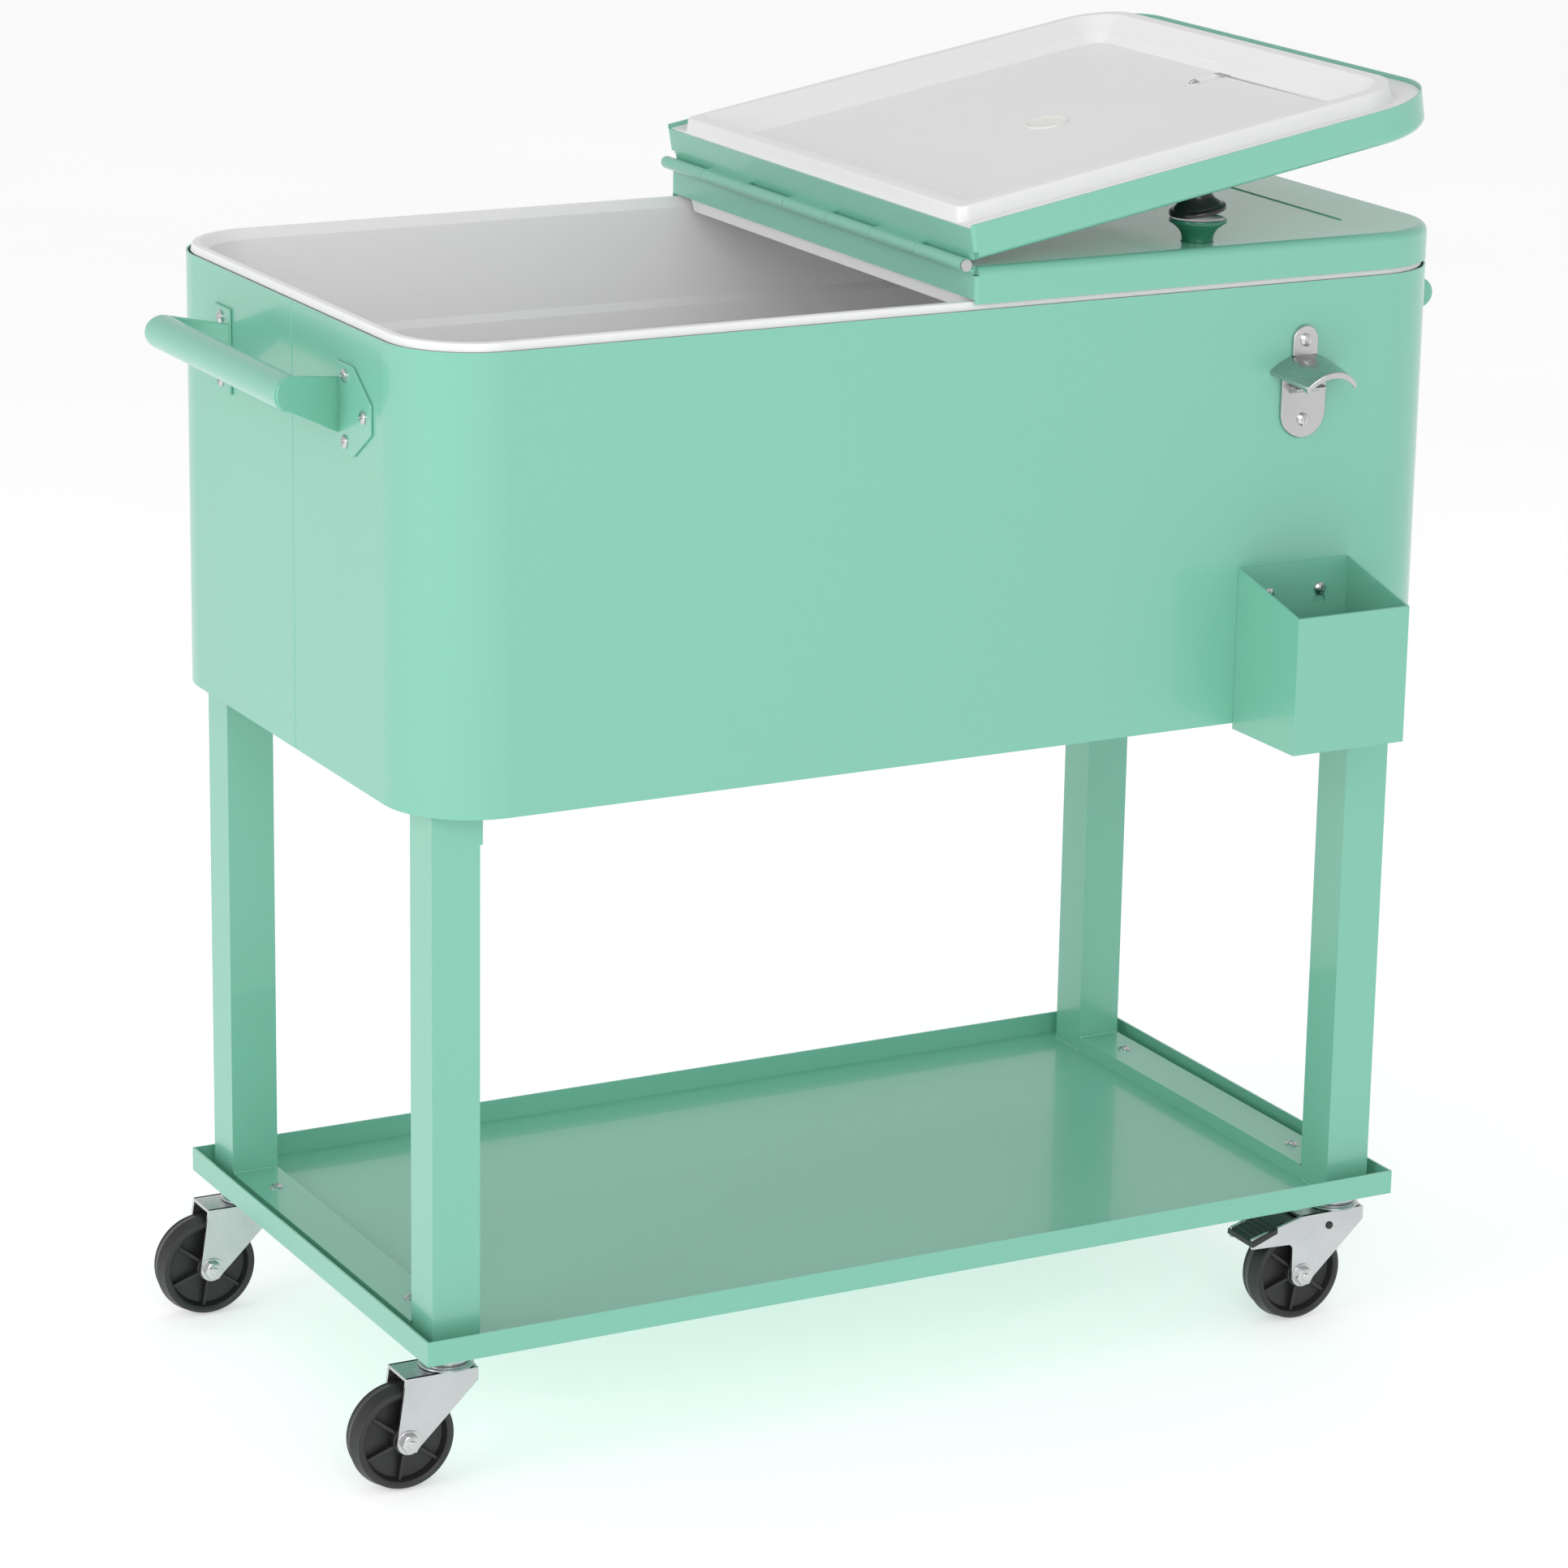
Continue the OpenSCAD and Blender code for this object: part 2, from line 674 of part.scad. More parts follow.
// Plate and upper race, fixed under the tray.
module caster_plate(sx, sy) color(zinc) at_caster(sx, sy) {
  translate([-leg_w / 2, -leg_w / 2, tray_z - 3]) cube([leg_w, leg_w, 3]);
  translate([0, 0, raceway_z + 4.3]) cylinder(r = 15, h = tray_z - 3 - raceway_z - 4.3 + eps);
  translate([0, 0, raceway_z - 7]) cylinder(r = 5, h = 12);
}

// Swivelling fork: lower race, top plate and two tapered arms.
module caster_fork(sx, sy) color(zinc) at_caster(sx, sy) difference() {
  union() {
    translate([0, 0, raceway_z]) rotate_extrude() difference() {
      square([20, 4]);
      translate([20, 4]) circle(2.5);
    }
    translate([-trail - 2, -fork_gap / 2 - fork_t, raceway_z - 2])
      cube([trail + 20, fork_gap + 2 * fork_t, 2.5]);
    for (s = [-1, 1]) translate([0, s * (fork_gap / 2 + fork_t / 2) + fork_t / 2, 0])
      rotate([90, 0, 0]) linear_extrude(fork_t) {
        polygon([[-trail - 2, raceway_z], [18, raceway_z], [18, raceway_z - 8],
          [-trail + 8, axle_z - 2], [-trail - 8.5, axle_z]]);
        translate([-trail, axle_z]) circle(9);
      }
  }
  translate([0, 0, raceway_z - 8]) cylinder(r = 5 + fit, h = 20);
  translate([-trail, 0, axle_z]) rod_y(axle_r, -30, 30);
  translate([pedal_x, 0, pedal_z]) rod_y(pedal_r, -30, 30);
}

// Spoked wheel with a solid tread, turning on the axle.
module caster_wheel(sx, sy) color(black) at_caster(sx, sy) translate([-trail, 0, axle_z])
  difference() {
    union() {
      rod_y(10, -wheel_w / 2, wheel_w / 2);
      difference() {
        rotate([90, 0, 0]) rotate_extrude($fn = 96) difference() {
          translate([0, -wheel_w / 2]) square([wheel_d / 2, wheel_w]);
          for (s = [-1, 1]) translate([wheel_d / 2, s * wheel_w / 2]) rotate([0, 0, 45])
            square([3.4, 3.4], center = true);
        }
        for (s = [-1, 1]) translate([0, s * wheel_w / 2, 0]) rod_y(wheel_d / 2 - 7, -8, 8);
      }
      for (a = [0:60:300]) rotate([0, a, 0])
        translate([9, -wheel_w / 2 + 2, -1.5]) cube([wheel_d / 2 - 14, wheel_w - 4, 3]);
    }
    rod_y(axle_r + fit, -30, 30);
  }

module caster_axle(sx, sy) color(zinc) at_caster(sx, sy) translate([-trail, 0, axle_z]) {
  out = fork_gap / 2 + fork_t;
  rod_y(axle_r, -out, out);
  for (s = [-1, 1]) translate([0, s * (out + 2.4), 0]) rotate([90, 0, 0])
    cylinder(r = 7, h = 4.8, center = true, $fn = 6);
}

// Brake pivot, seen from the swivel axis
pedal_x = -12;
pedal_z = raceway_z - 10;
pedal_r = 1.6;

// Foot brake: a bent lever over the wheel, turning on a cross pin between the arms.
module brake_pedal(sx, sy) color(black) at_caster(sx, sy) {
  inside = fork_gap - 1.6;
  translate([pedal_x, 0, pedal_z]) {
    rod_y(pedal_r - fit, -fork_gap / 2 - fork_t - 1, fork_gap / 2 + fork_t + 1);
    rod_y(3.4, -inside / 2, inside / 2);
    translate([0, inside / 2, 0]) rotate([90, 0, 0]) linear_extrude(inside) polygon([
      [3, -1], [3, 2.5], [-6, 7], [-38, 7], [-68, -3.5], [-68, -6.5], [-37, 4.8], [-7, 4.8], [-3, 1]]);
    // Wide tread at the end
    translate([0, inside / 2 + 5, 0]) rotate([90, 0, 0]) linear_extrude(inside + 10) polygon([
      [-48, 3.5], [-68, -3.5], [-68, -6.5], [-48, 0.8]]);
  }
}

module caster_plate_fl() caster_plate(-1, -1);
module caster_fork_fl() caster_fork(-1, -1);
module caster_wheel_fl() caster_wheel(-1, -1);
module caster_axle_fl() caster_axle(-1, -1);
module caster_plate_fr() caster_plate(1, -1);
module caster_fork_fr() caster_fork(1, -1);
module caster_wheel_fr() caster_wheel(1, -1);
module caster_axle_fr() caster_axle(1, -1);
module caster_plate_bl() caster_plate(-1, 1);
module caster_fork_bl() caster_fork(-1, 1);
module caster_wheel_bl() caster_wheel(-1, 1);
module caster_axle_bl() caster_axle(-1, 1);
module caster_plate_br() caster_plate(1, 1);
module caster_fork_br() caster_fork(1, 1);
module caster_wheel_br() caster_wheel(1, 1);
module caster_axle_br() caster_axle(1, 1);
module brake_pedal_fr() brake_pedal(1, -1);
module brake_pedal_br() brake_pedal(1, 1);

// ---------- assembly ----------

shell_front();
shell_back();
bottom_plate();
tub_liner();
rim_collar();
tub_foam();
drain_tube();
drain_nut();
drain_cap();
lid_left_skin();
lid_left_liner();
lid_left_foam();
lid_left_plug();
lid_left_screw();
lid_left_knob();
lid_right_skin();
lid_right_liner();
lid_right_foam();
lid_right_plug();
lid_right_screw();
lid_right_knob();
hinge_pin();
handle_left();
handle_left_screws();
handle_right();
handle_right_screws();
bottle_opener();
opener_screws();
cap_catcher();
catcher_screws();
leg_fl();
leg_fr();
leg_bl();
leg_br();
rail_left();
rail_right();
leg_brackets();
frame_bolts();
shelf_tray();
shelf_screws();
caster_plate_fl();
caster_fork_fl();
caster_wheel_fl();
caster_axle_fl();
caster_plate_fr();
caster_fork_fr();
caster_wheel_fr();
caster_axle_fr();
caster_plate_bl();
caster_fork_bl();
caster_wheel_bl();
caster_axle_bl();
caster_plate_br();
caster_fork_br();
caster_wheel_br();
caster_axle_br();
brake_pedal_fr();
brake_pedal_br();
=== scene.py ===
"""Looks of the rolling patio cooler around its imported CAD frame."""
import json
import math

import bmesh
import bpy
from mathutils import Matrix, Vector


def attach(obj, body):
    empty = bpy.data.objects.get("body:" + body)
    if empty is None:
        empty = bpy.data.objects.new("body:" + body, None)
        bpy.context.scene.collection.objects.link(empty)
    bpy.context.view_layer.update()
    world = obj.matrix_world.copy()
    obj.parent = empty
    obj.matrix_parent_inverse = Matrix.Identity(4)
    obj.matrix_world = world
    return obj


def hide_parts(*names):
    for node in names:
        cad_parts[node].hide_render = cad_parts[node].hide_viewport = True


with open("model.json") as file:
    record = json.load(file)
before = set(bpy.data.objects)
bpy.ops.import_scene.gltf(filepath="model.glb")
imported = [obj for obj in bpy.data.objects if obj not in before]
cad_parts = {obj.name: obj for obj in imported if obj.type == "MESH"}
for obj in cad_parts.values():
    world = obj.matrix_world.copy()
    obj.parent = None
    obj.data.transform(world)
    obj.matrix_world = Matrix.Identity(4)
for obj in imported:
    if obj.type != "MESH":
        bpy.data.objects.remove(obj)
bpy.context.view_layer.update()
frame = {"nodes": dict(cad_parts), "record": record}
NODES = frame["nodes"]
MM = 0.001
scene = bpy.context.scene

# ---------------------------------------------------------------- materials


def socket(bsdf, **values):
    """Sets Principled sockets by name, with _ for spaces."""
    for key, value in values.items():
        bsdf.inputs[key.replace("_", " ")].default_value = value


class Mat:
    """A node material built step by step in object coordinates (metres)."""

    def __init__(self, name):
        self.m = bpy.data.materials.new(name)
        self.m.use_nodes = True
        self.t = self.m.node_tree
        self.bsdf = self.t.nodes["Principled BSDF"]
        self.coord = self.t.nodes.new("ShaderNodeTexCoord").outputs["Object"]

    def node(self, kind, **props):
        n = self.t.nodes.new("ShaderNode" + kind)
        for key, value in props.items():
            setattr(n, key, value)
        return n

    def link(self, a, b):
        self.t.links.new(a, b)

    def stretched(self, scale):
        mp = self.node("Mapping")
        mp.inputs["Scale"].default_value = scale
        self.link(self.coord, mp.inputs["Vector"])
        return mp.outputs["Vector"]

    def noise(self, scale, detail=2.0, rough=0.5, vector=None):
        n = self.node("TexNoise")
        n.inputs["Scale"].default_value = scale
        n.inputs["Detail"].default_value = detail
        n.inputs["Roughness"].default_value = rough
        self.link(vector or self.coord, n.inputs["Vector"])
        return n.outputs["Fac"]

    def ramp(self, fac, stops):
        r = self.node("ValToRGB")
        els = r.color_ramp.elements
        while len(els) < len(stops):
            els.new(0.5)
        for el, (pos, col) in zip(els, stops):
            el.position = pos
            el.color = (*col, 1) if len(col) == 3 else col
        self.link(fac, r.inputs["Fac"])
        return r.outputs["Color"]

    def remap(self, fac, lo, hi, src=(0.1, 0.9)):
        n = self.node("MapRange")
        n.inputs["From Min"].default_value, n.inputs["From Max"].default_value = src
        n.inputs["To Min"].default_value, n.inputs["To Max"].default_value = lo, hi
        self.link(fac, n.inputs["Value"])
        return n.outputs["Result"]

    def bump(self, height, strength, distance):
        b = self.node("Bump")
        b.inputs["Strength"].default_value = strength
        b.inputs["Distance"].default_value = distance
        self.link(height, b.inputs["Height"])
        self.link(b.outputs["Normal"], self.bsdf.inputs["Normal"])

    def color(self, c):
        self.link(c, self.bsdf.inputs["Base Color"])

    def rough(self, r):
        self.link(r, self.bsdf.inputs["Roughness"])


def paint(name, base, deep):
    """Powder coat: very soft tone variation under a clear gloss."""
    m = Mat(name)
    m.color(m.ramp(m.noise(3, 0), [(0, deep), (1, base)]))
    m.rough(m.remap(m.noise(5, 0), 0.24, 0.30))
    socket(m.bsdf, Coat_Weight=0.4, Coat_Roughness=0.05, IOR=1.5)
    return m.m


def plastic(name, a, b, rough, grain, strength, scale=6.0):
    m = Mat(name)
    m.color(m.ramp(m.noise(scale, 1), [(0, a), (1, b)]))
    m.rough(m.remap(m.noise(15, 1), rough[0], rough[1]))
    m.bump(m.noise(grain, 2), strength, 0.0002)
    socket(m.bsdf, IOR=1.5)
    return m.m


def metal(name, a, b, rough, stretch, grain=400, strength=0.15):
    """Bare or plated metal with rolled or brushed streaks along one axis."""
    m = Mat(name)
    v = m.stretched(stretch)
    m.color(m.ramp(m.noise(14, 4), [(0.3, a), (0.7, b)]))
    m.rough(m.remap(m.noise(grain, 3, 0.6, v), rough[0], rough[1]))
    m.bump(m.noise(grain * 2, 3, 0.6, v), strength, 0.0001)
    socket(m.bsdf, Metallic=1.0)
    return m.m


MINT = paint("mint_paint", (0.196, 0.522, 0.394), (0.192, 0.514, 0.388))
WHITE = plastic("white_plastic", (0.86, 0.855, 0.86), (0.87, 0.865, 0.87),
                (0.28, 0.34), 300, 0.01)
CREAM = plastic("white_plastic_small", (0.85, 0.84, 0.80), (0.87, 0.86, 0.82),
                (0.3, 0.36), 300, 0.01)
GREEN = plastic("green_plastic", (0.020, 0.140, 0.085), (0.026, 0.165, 0.100),
                (0.10, 0.16), 500, 0.03)
BLACK = plastic("black_plastic", (0.010, 0.010, 0.011), (0.016, 0.016, 0.017),
                (0.14, 0.24), 700, 0.05)
WHEEL = plastic("wheel_plastic", (0.012, 0.012, 0.013), (0.024, 0.024, 0.025),
                (0.38, 0.55), 1500, 0.2, 40)
BLACK_METAL = plastic("black_metal", (0.012, 0.012, 0.013), (0.02, 0.02, 0.021),
                      (0.28, 0.4), 1200, 0.12)
FOAM = plastic("foam", (0.66, 0.56, 0.30), (0.76, 0.67, 0.40), (0.7, 0.9), 500, 0.8, 60)
ZINC = metal("zinc_plate", (0.52, 0.53, 0.545), (0.64, 0.65, 0.66), (0.20, 0.38), (1, 1, 1))
STEEL = metal("stainless", (0.50, 0.50, 0.505), (0.58, 0.58, 0.58),
              (0.16, 0.34), (0.06, 1, 1), 900, 0.2)
PIN = metal("pin_steel", (0.50, 0.50, 0.51), (0.57, 0.57, 0.58), (0.25, 0.4), (1, 0.1, 1))
SCREW = metal("screw_steel", (0.58, 0.58, 0.59), (0.68, 0.68, 0.69),
              (0.14, 0.26), (1, 1, 1), 700, 0.05)
SLOTS = {
    "mint_paint": MINT, "white_plastic": WHITE, "white_plastic_small": CREAM,
    "foam": FOAM, "green_plastic": GREEN, "black_plastic": BLACK, "wheel_plastic": WHEEL,
    "black_metal": BLACK_METAL, "zinc_plate": ZINC, "stainless": STEEL,
    "pin_steel": PIN, "screw_steel": SCREW,
}
NODE_SLOT = {s["node"]: s["material_slot"] for s in frame["record"]["subparts"]}
for node, slot in NODE_SLOT.items():
    obj = NODES[node]
    obj.data.materials.clear()
    obj.data.materials.append(SLOTS[slot])

# ---------------------------------------------------------------- bevels


def soften(node, width, angle=40, segments=2):
    b = NODES[node].modifiers.new("edge", "BEVEL")
    b.width = width
    b.segments = segments
    b.limit_method = "ANGLE"
    b.angle_limit = math.radians(angle)


# ---------------------------------------------------------------- shapes

# Dimensions of the frame, in mm, measured from the middle of the tub
HALF_L, HALF_W, TUB_R = 397, 225, 62
Y_MID = 39
SHELL_TOP, RIM_TOP = 790, 796.5
LID_TOP, HINGE_Z = 819, 820.5
LEDGE_Z, PAN_LOW, PAN_FLOOR = 796.9, 785, 804
LINER_WALL = 2.4
KNOB_AT, PLUG_X, SCREW_X = (196, -198), 197, 322
SEAM_Y, GRIP_Z = -13, 735
OPENER_AT = (269, -HALF_W, 722)
RAIL_H = 11
LEG_X, LEG_Y, LEG_W = 359.5, 177, 35
TRAY_FLOOR = 99.5
FOLD = math.radians(170)

CENTRED = Matrix.Translation((0, Y_MID, 0))
RIGHT_LID = CENTRED
LEFT_LID = (
    Matrix.Translation((0, Y_MID, HINGE_Z)) @ Matrix.Rotation(FOLD, 4, "Y")
    @ Matrix.Translation((0, 0, -HINGE_Z)) @ Matrix.Scale(-1, 4, (1, 0, 0))
)
MIRROR_X = Matrix.Scale(-1, 4, (1, 0, 0))


def turned(axis, degrees):
    return Matrix.Rotation(math.radians(degrees), 4, axis)


def outline(x0, x1, half_y, r0, r1, z, n=14):
    """Rounded rectangle at height z, with corner radius r0 at x0 and r1 at x1."""
    corners = (
        (x1 - r1, half_y - r1, r1), (x0 + r0, half_y - r0, r0),
        (x0 + r0, r0 - half_y, r0), (x1 - r1, r1 - half_y, r1),
    )
    points = []
    for quarter, (cx, cy, r) in enumerate(corners):
        for i in range(n + 1):
            a = math.pi / 2 * (quarter + i / n)
            points.append((cx + r * math.cos(a), cy + r * math.sin(a), z))
    return points


def fillet(path, n=5):
    """Rounds an open path of (a, b, radius) points into (a, b) points."""
    points = []
    for i, (a, b, r) in enumerate(path):
        if not r or i in (0, len(path) - 1):
            points.append((a, b))
            continue
        here = Vector((a, b))
        to_prev = (Vector(path[i - 1][:2]) - here).normalized()
        to_next = (Vector(path[i + 1][:2]) - here).normalized()
        half = to_prev.angle(to_next) / 2
        reach = r / math.tan(half)
        start, end = here + to_prev * reach, here + to_next * reach
        centre = here + (to_prev + to_next).normalized() * (r / math.sin(half))
        u, v = start - centre, end - centre
        for k in range(n + 1):
            points.append(tuple(centre + u.slerp(v, k / n)))
    return points


class Shape:
    """A mesh in mm that grows part by part and becomes one piece."""

    def __init__(self):
        self.bm = bmesh.new()

    def rows(self, rows, at=None, close=False, caps=(False, False)):
        at = at or Matrix.Identity(4)
        verts = [[self.bm.verts.new(at @ Vector(p)) for p in row] for row in rows]
        pairs = list(zip(verts, verts[1:])) + ([(verts[-1], verts[0])] if close else [])
        for a, b in pairs:
            for i in range(len(a)):
                j = (i + 1) % len(a)
                self.bm.faces.new((a[i], a[j], b[j], b[i]))
        if caps[0]:
            self.bm.faces.new(verts[0][::-1])
        if caps[1]:
            self.bm.faces.new(verts[-1])
        return verts

    def prism(self, poly, lo, hi, at=None):
        """Polygon in the XZ plane, extruded along Y from lo to hi."""
        self.rows([[(x, y, z) for x, z in poly] for y in (lo, hi)], at, caps=(True, True))

    def revolve(self, profile, at=None, n=48, caps=(False, False), close=False):
        """Profile of (radius, height) points turned about Z."""
        rows = [[(r * math.cos(t), r * math.sin(t), h) for t in ring(n)] for r, h in profile]
        self.rows(rows, at, close, caps)

    def done(self, name, slot, body, node=None, at=CENTRED, bevel=0.0, angle=35):
        bm = self.bm
        bm.transform(Matrix.Scale(MM, 4) @ at)
        bmesh.ops.recalc_face_normals(bm, faces=bm.faces)
        mesh = bpy.data.meshes.new(name)
        bm.to_mesh(mesh)
        bm.free()
        mesh.shade_smooth()
        mesh.set_sharp_from_angle(angle=math.radians(angle))
        piece = bpy.data.objects.new(name, mesh)
        scene.collection.objects.link(piece)
        mesh.materials.append(SLOTS[slot])
        if bevel:
            b = piece.modifiers.new("edge", "BEVEL")
            b.width, b.segments = bevel * MM, 2
            b.limit_method, b.angle_limit = "ANGLE", math.radians(angle)
        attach(piece, body)
        if node:
            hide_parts(*([node] if isinstance(node, str) else node))
        return piece


def ring(n):
    return [2 * math.pi * i / n for i in range(n)]


def arc(cx, cy, r, a0, a1, n=10):
    steps = [math.radians(a0 + (a1 - a0) * i / n) for i in range(n + 1)]
    return [(cx + r * math.cos(a), cy + r * math.sin(a)) for a in steps]


# ---------------------------------------------------------------- tub


def tub_row(inset, z):
    r = TUB_R - inset
    return outline(inset - HALF_L, HALF_L - inset, HALF_W - inset, r, r, z)


def tub_liner():
    """White moulding: rim, sloped lead-in, step in the wall and rounded floor."""
    inside = fillet([
        (50, 512.5, 0), (25, 512.5, 22), (23, 717.5, 2.5), (16.8, 720.5, 2.5),
        (16, 789.5, 3), (9.5, RIM_TOP, 2), (3, RIM_TOP, 2.2), (3, SHELL_TOP, 0),
    ])
    back = [(5.2, 790), (5.2, 782), (13.6, 782), (13.6, 716.1), (20.6, 716.1),
            (20.6, 510.1), (50, 510.1)]
    s = Shape()
    s.rows([tub_row(a, z) for a, z in inside + back], caps=(True, True))
    s.done("liner_tub", "white_plastic", "tub_and_stand", ["tub_liner", "rim_collar"], angle=50)


def lid_row(end, side, hinge, r0, z):
    return outline(6 + hinge, HALF_L - end, HALF_W - side, r0, TUB_R - max(end, side), z)


def pan_row(k, z):
    return lid_row(20 + k, 20 + k, 3 + k, max(8 - 0.6 * k, 3), z)


DISH_X, DISH_L, DISH_W = 331, 11, 7.5


def dish_row(grow, z, n=12):
    """Stadium round the liner screw, longer towards the lid's outer end."""
    r = DISH_W + grow
    right = arc(DISH_X + DISH_L, 0, r, -90, 90, n)
    left = arc(DISH_X - DISH_L, 0, r * 0.9, 90, 270, n)
    return [(x, y, z) for x, y in right + left]


def lid_liner(side, at):
    """Pan under a lid: ledge, raised rim, drafted wall and a filleted floor."""
    under = [(31, PAN_FLOOR)] + fillet([
        (28, PAN_FLOOR, 0), (17.5, PAN_FLOOR, 8), (13, PAN_LOW, 2.2),
        (0.8, PAN_LOW, 2.6), (0, LEDGE_Z, 0),
    ])
    s = Shape()
    rows = [pan_row(k, z) for k, z in under[:-1]]
    rows += [pan_row(0, LEDGE_Z - 1.2), lid_row(18.8, 18.8, 2.6, 8, LEDGE_Z)]
    rows += [lid_row(1.4, 1.4, 1.4, 3, LEDGE_Z + up) for up in (0, LINER_WALL)]
    rows += [pan_row(k, z + LINER_WALL) for k, z in (
        (2.4, LEDGE_Z), (2.4, PAN_LOW), (10.6, PAN_LOW), (15, PAN_FLOOR), (28, PAN_FLOOR))]
    made = s.rows(rows, caps=(False, True))
    dish = s.rows([dish_row(g, PAN_FLOOR + d) for g, d in (
        (3, 0), (0.6, 0), (0, 0.15), (-1, 0.7), (-2.2, 1.25), (-3.4, 1.4))], caps=(False, True))
    edges = []
    for loop in (made[0], dish[0]):
        for a, b in zip(loop, loop[1:] + loop[:1]):
            edges.append(s.bm.edges.get((a, b)))
    bmesh.ops.triangle_fill(s.bm, use_beauty=True, use_dissolve=False, edges=edges)
    s.done(f"liner_{side}", "white_plastic", f"lid_{side}", f"lid_{side}_liner", at=at, angle=45)
    plug = Shape()
    plug.revolve([(15.6, 0), (15.6, -0.9), (15, -1.2), (14.2, -1.1), (13.4, -0.5), (12.6, -0.35)],
                 Matrix.Translation((PLUG_X, 0, PAN_FLOOR)), 64, (True, True))
    plug.done(f"plug_{side}", "white_plastic_small", f"lid_{side}", f"lid_{side}_plug", at=at)
    boss = Shape()
    boss.revolve([(2.2, 0), (5.4, 0), (6, 0.5), (6, 1.5), (2.2, 1.5)],
                 Matrix.Translation((SCREW_X, 0, PAN_FLOOR)), close=True)
    boss.done(f"boss_{side}", "white_plastic", f"lid_{side}", at=at)


def knob(side, at, slot):
    """Bell knob: thin rim, dished face, waist and foot."""
    profile = [(9, 15.2), (15, 15.6), (17.5, 16.3), (19, 16.5), (19.8, 16.1),
               (20, 15.2), (19.9, 13.9), (19.3, 13.2), (18.3, 12.9), (17.2, 12.6)]
    profile += [(23 - 12.2 * math.cos(a), 1.6 + 11.4 * math.sin(a))
                for a in (1.0, 0.85, 0.65, 0.45, 0.25, 0.08)]
    profile += [(10.9, 0.9), (11.6, 0.3), (11.6, 0)]
    s = Shape()
    s.revolve(profile, Matrix.Translation((*KNOB_AT, LID_TOP)), 72, (True, True))
    s.done(f"knob_{side}", slot, f"lid_{side}", f"lid_{side}_knob", at=at, angle=45)


def seam():
    """Edge of the overlapping sheet on both ends of the shell."""
    s = Shape()
    for x in (-HALF_L, HALF_L):
        out = 0.35 if x > 0 else -0.35
        lip = [(SEAM_Y - 0.9, 0), (SEAM_Y - 0.5, out), (SEAM_Y + 0.3, out), (SEAM_Y + 0.5, 0)]
        s.rows([[(x + dx, y, z) for y, dx in lip] for z in (481, 789)], caps=(True, True))
    s.done("seam", "mint_paint", "tub_and_stand", angle=25)


# ---------------------------------------------------------------- handles

ARM_Y, GRIP_X, GRIP_RISE, GRIP_R, GRIP_END = 93, 43, 14, 12, 109
SPLAY = math.degrees(math.atan((GRIP_END - ARM_Y) / GRIP_X))
ARM_L = GRIP_X / math.cos(math.radians(SPLAY))


def handle(side, at):
    """Pressed plates and splayed arms closing the ends of a round grip."""
    s = Shape()
    for flip in (1, -1):
        m = Matrix.Scale(flip, 4, (0, 1, 0))
        plate = [(91.5, -30), (119, -30), (148, -10), (148, 10), (119, 30), (91.5, 30)]
        s.rows([[(x, y, z) for y, z in plate] for x in (0, 2)], m, caps=(True, True))
        top, low = GRIP_RISE + GRIP_R, GRIP_RISE - GRIP_R
        face = [(0.6, 19), (0.6, -19)] + [(ARM_L, low)]
        face += arc(ARM_L, GRIP_RISE, GRIP_R, -80, 80, 14) + [(ARM_L, top)]
        arm = m @ Matrix.Translation((0, ARM_Y, 0)) @ turned("Z", SPLAY)
        s.prism(face, 0, 2.5, arm)
    cut = math.tan(math.radians(SPLAY))
    grip = []
    for y in (-1, 1):
        grip.append([
            (GRIP_X + GRIP_R * math.cos(t),
             y * (GRIP_END + 1.2 + GRIP_R * math.cos(t) * cut),
             GRIP_RISE + GRIP_R * math.sin(t)) for t in ring(40)])
    s.rows(grip, caps=(True, True))
    lift = Matrix.Translation((HALF_L + 0.05, 0, GRIP_Z))
    s.done(f"grip_{side}", "mint_paint", "tub_and_stand", f"handle_{side}",
           at=at @ lift, bevel=0.7, angle=32)


# ---------------------------------------------------------------- opener


def opener():
    """Stamped steel: tab, round plate, arched tongue with a thick front lip, tooth."""
    s = Shape()
    tab = arc(0, 28, 10, 0, 180) + [(-10, 17), (10, 17)]
    s.prism([(x, z) for x, z in tab], -3, 0)
    plate = arc(0, -23, 18, 180, 360, 24) + [(18, 6), (14, 10), (-14, 10), (-18, 6)]
    s.prism(plate, -3, 0)
    nu, nv = 24, 12
    top, under = [], []
    for j in range(nv + 1):
        v = j / nv
        half = 27 - 7 * v ** 1.5
        out = -42 * v
        rise = 18 - 4.4 * v - 1.2 * v * v
        thick = 2.5 + 2.2 * max(0, (v - 0.8) / 0.2) ** 2
        row_t, row_u = [], []
        for i in range(nu + 1):
            u = 2 * i / nu - 1
            x = half * u
            z = rise - 10.5 * abs(u) ** 2.1
            y = out * (1 - 0.10 * u * u)
            row_t.append((x, y, z))
            row_u.append((x * 0.985, y + (0.8 if v > 0.9 else 0), z - thick))
        top.append(row_t)
        under.append(row_u)
    loops = [t + u[::-1] for t, u in zip(top, under)]
    s.rows(loops, caps=(True, True))
    tooth = [(-3, -9), (-3, -3.5), (-9, -3), (-13, -4), (-13, -6), (-9, -6)]
    s.rows([[(x, y, z) for y, z in tooth] for x in (-12, 12)], caps=(True, True))
    s.done("opener", "stainless", "tub_and_stand", "bottle_opener",
           at=CENTRED @ Matrix.Translation(OPENER_AT), bevel=0.5, angle=40)


# ---------------------------------------------------------------- casters

RACE_Z, AXLE_Z, TRAIL, FORK_Y, FORK_T = 83, 37.5, 34, 13, 2.5
CORNERS = {"fl": (-1, -1), "fr": (1, -1), "bl": (-1, 1), "br": (1, 1)}


